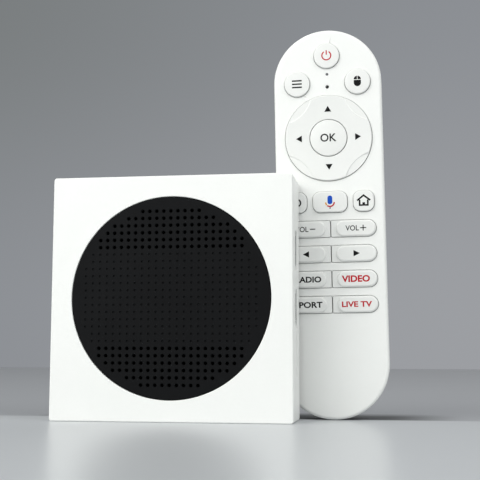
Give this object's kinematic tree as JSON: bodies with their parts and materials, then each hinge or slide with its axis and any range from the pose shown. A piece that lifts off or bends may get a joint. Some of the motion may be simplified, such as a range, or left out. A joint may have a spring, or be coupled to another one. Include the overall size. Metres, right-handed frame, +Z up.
{
  "type": "streaming media player",
  "caption": "Square white streaming media player standing on edge, with a round dark vent grille and edge sockets, and its slim white remote control with keys and a direction ring.",
  "frame": {"origin": "middle of the lower edge face that the player stands on", "axes": "+Z up, +X to the right, -Y the way the round vent faces; the remote stands behind the right-hand side"},
  "size_m": [0.14, 0.0471, 0.1701],
  "materials": {
    "white_case": "satin white moulded ABS",
    "dark_grille": "fine matt charcoal moulded plastic",
    "white_key": "satin white key caps with printed marks",
    "cover_plastic": "matt dark moulded plastic",
    "rubber_feet": "matt black rubber",
    "steel": "plated sheet steel",
    "aluminium": "extruded aluminium",
    "board": "green solder mask",
    "chip": "black moulded epoxy",
    "silicone": "soft grey silicone",
    "smoked_lens": "smoked clear plastic",
    "clear_lens": "frosted clear plastic",
    "socket_plastic": "black moulded nylon",
    "contact_steel": "nickel plated spring steel",
    "battery_sleeve": "printed shrink sleeve"
  },
  "bodies": {
    "player": {"housing": "white_case", "vent_disc": "dark_grille", "back_cover": "cover_plastic", "cover_screw_1": "steel", "cover_screw_2": "steel", "cover_screw_3": "steel", "cover_screw_4": "steel", "rubber_foot_1": "rubber_feet", "rubber_foot_2": "rubber_feet", "rubber_foot_3": "rubber_feet", "rubber_foot_4": "rubber_feet", "main_board": "board", "processor": "chip", "thermal_pad": "silicone", "heat_sink": "aluminium", "memory_chip_1": "chip", "memory_chip_2": "chip", "storage_chip": "chip", "wireless_module": "steel", "antenna_left": "aluminium", "antenna_lower": "aluminium", "infrared_receiver": "chip", "status_light": "clear_lens", "infrared_window": "smoked_lens", "power_jack": "socket_plastic", "hdmi_socket": "steel", "network_socket": "socket_plastic", "audio_jack": "socket_plastic", "usb_socket_upper": "steel", "usb_socket_lower": "steel", "card_socket": "steel"},
    "remote": {"remote_front_shell": "white_case", "remote_back_shell": "white_case", "key_pad": "silicone", "remote_board": "board", "indicator_lens": "clear_lens", "infrared_emitter": "smoked_lens", "battery_1": "battery_sleeve", "battery_2": "battery_sleeve", "battery_contact_lower": "contact_steel", "battery_contact_upper": "contact_steel"},
    "battery_door": {"battery_door": "white_case"},
    "direction_pivot": {"direction_pivot": "silicone"},
    "direction_ring": {"direction_ring": "white_key"},
    "key_power": {"key_power": "white_key"},
    "key_menu": {"key_menu": "white_key"},
    "key_pointer": {"key_pointer": "white_key"},
    "key_ok": {"key_ok": "white_key"},
    "key_back": {"key_back": "white_key"},
    "key_voice": {"key_voice": "white_key"},
    "key_home": {"key_home": "white_key"},
    "key_volume_down": {"key_volume_down": "white_key"},
    "key_volume_up": {"key_volume_up": "white_key"},
    "key_previous": {"key_previous": "white_key"},
    "key_next": {"key_next": "white_key"},
    "key_app_1": {"key_app_1": "white_key"},
    "key_app_2": {"key_app_2": "white_key"},
    "key_app_3": {"key_app_3": "white_key"},
    "key_app_4": {"key_app_4": "white_key"}
  },
  "joints": [
    {"name": "remote_lift", "type": "slide", "parent": "player", "child": "remote", "axis": [0, 0, 1], "range_m": [0, 0.11]},
    {"name": "battery_door_lift", "type": "slide", "parent": "remote", "child": "battery_door", "axis": [0, 0.9997, 0.026], "range_m": [0, 0.02]},
    {"name": "direction_up_down", "type": "hinge", "parent": "remote", "child": "direction_pivot", "pos_m": [0.06408, 0.01534, 0.12159], "axis": [0.9999, -0.0004, 0.015], "range_deg": [-2.2, 2.2], "stiffness_Nm_per_rad": 0.6},
    {"name": "direction_left_right", "type": "hinge", "parent": "direction_pivot", "child": "direction_ring", "pos_m": [0.06408, 0.01534, 0.12159], "axis": [-0.015, -0.026, 0.9995], "range_deg": [-2.2, 2.2], "stiffness_Nm_per_rad": 0.6},
    {"name": "key_power_press", "type": "slide", "parent": "remote", "child": "key_power", "axis": [0, 0.9997, 0.026], "range_m": [0, 0.0008], "stiffness_N_per_m": 1500},
    {"name": "key_menu_press", "type": "slide", "parent": "remote", "child": "key_menu", "axis": [0, 0.9997, 0.026], "range_m": [0, 0.0008], "stiffness_N_per_m": 1500},
    {"name": "key_pointer_press", "type": "slide", "parent": "remote", "child": "key_pointer", "axis": [0, 0.9997, 0.026], "range_m": [0, 0.0008], "stiffness_N_per_m": 1500},
    {"name": "key_ok_press", "type": "slide", "parent": "remote", "child": "key_ok", "axis": [0, 0.9997, 0.026], "range_m": [0, 0.0008], "stiffness_N_per_m": 1500},
    {"name": "key_back_press", "type": "slide", "parent": "remote", "child": "key_back", "axis": [0, 0.9997, 0.026], "range_m": [0, 0.0008], "stiffness_N_per_m": 1500},
    {"name": "key_voice_press", "type": "slide", "parent": "remote", "child": "key_voice", "axis": [0, 0.9997, 0.026], "range_m": [0, 0.0008], "stiffness_N_per_m": 1500},
    {"name": "key_home_press", "type": "slide", "parent": "remote", "child": "key_home", "axis": [0, 0.9997, 0.026], "range_m": [0, 0.0008], "stiffness_N_per_m": 1500},
    {"name": "key_volume_down_press", "type": "slide", "parent": "remote", "child": "key_volume_down", "axis": [0, 0.9997, 0.026], "range_m": [0, 0.0008], "stiffness_N_per_m": 1500},
    {"name": "key_volume_up_press", "type": "slide", "parent": "remote", "child": "key_volume_up", "axis": [0, 0.9997, 0.026], "range_m": [0, 0.0008], "stiffness_N_per_m": 1500},
    {"name": "key_previous_press", "type": "slide", "parent": "remote", "child": "key_previous", "axis": [0, 0.9997, 0.026], "range_m": [0, 0.0008], "stiffness_N_per_m": 1500},
    {"name": "key_next_press", "type": "slide", "parent": "remote", "child": "key_next", "axis": [0, 0.9997, 0.026], "range_m": [0, 0.0008], "stiffness_N_per_m": 1500},
    {"name": "key_app_1_press", "type": "slide", "parent": "remote", "child": "key_app_1", "axis": [0, 0.9997, 0.026], "range_m": [0, 0.0008], "stiffness_N_per_m": 1500},
    {"name": "key_app_2_press", "type": "slide", "parent": "remote", "child": "key_app_2", "axis": [0, 0.9997, 0.026], "range_m": [0, 0.0008], "stiffness_N_per_m": 1500},
    {"name": "key_app_3_press", "type": "slide", "parent": "remote", "child": "key_app_3", "axis": [0, 0.9997, 0.026], "range_m": [0, 0.0008], "stiffness_N_per_m": 1500},
    {"name": "key_app_4_press", "type": "slide", "parent": "remote", "child": "key_app_4", "axis": [0, 0.9997, 0.026], "range_m": [0, 0.0008], "stiffness_N_per_m": 1500}
  ]
}
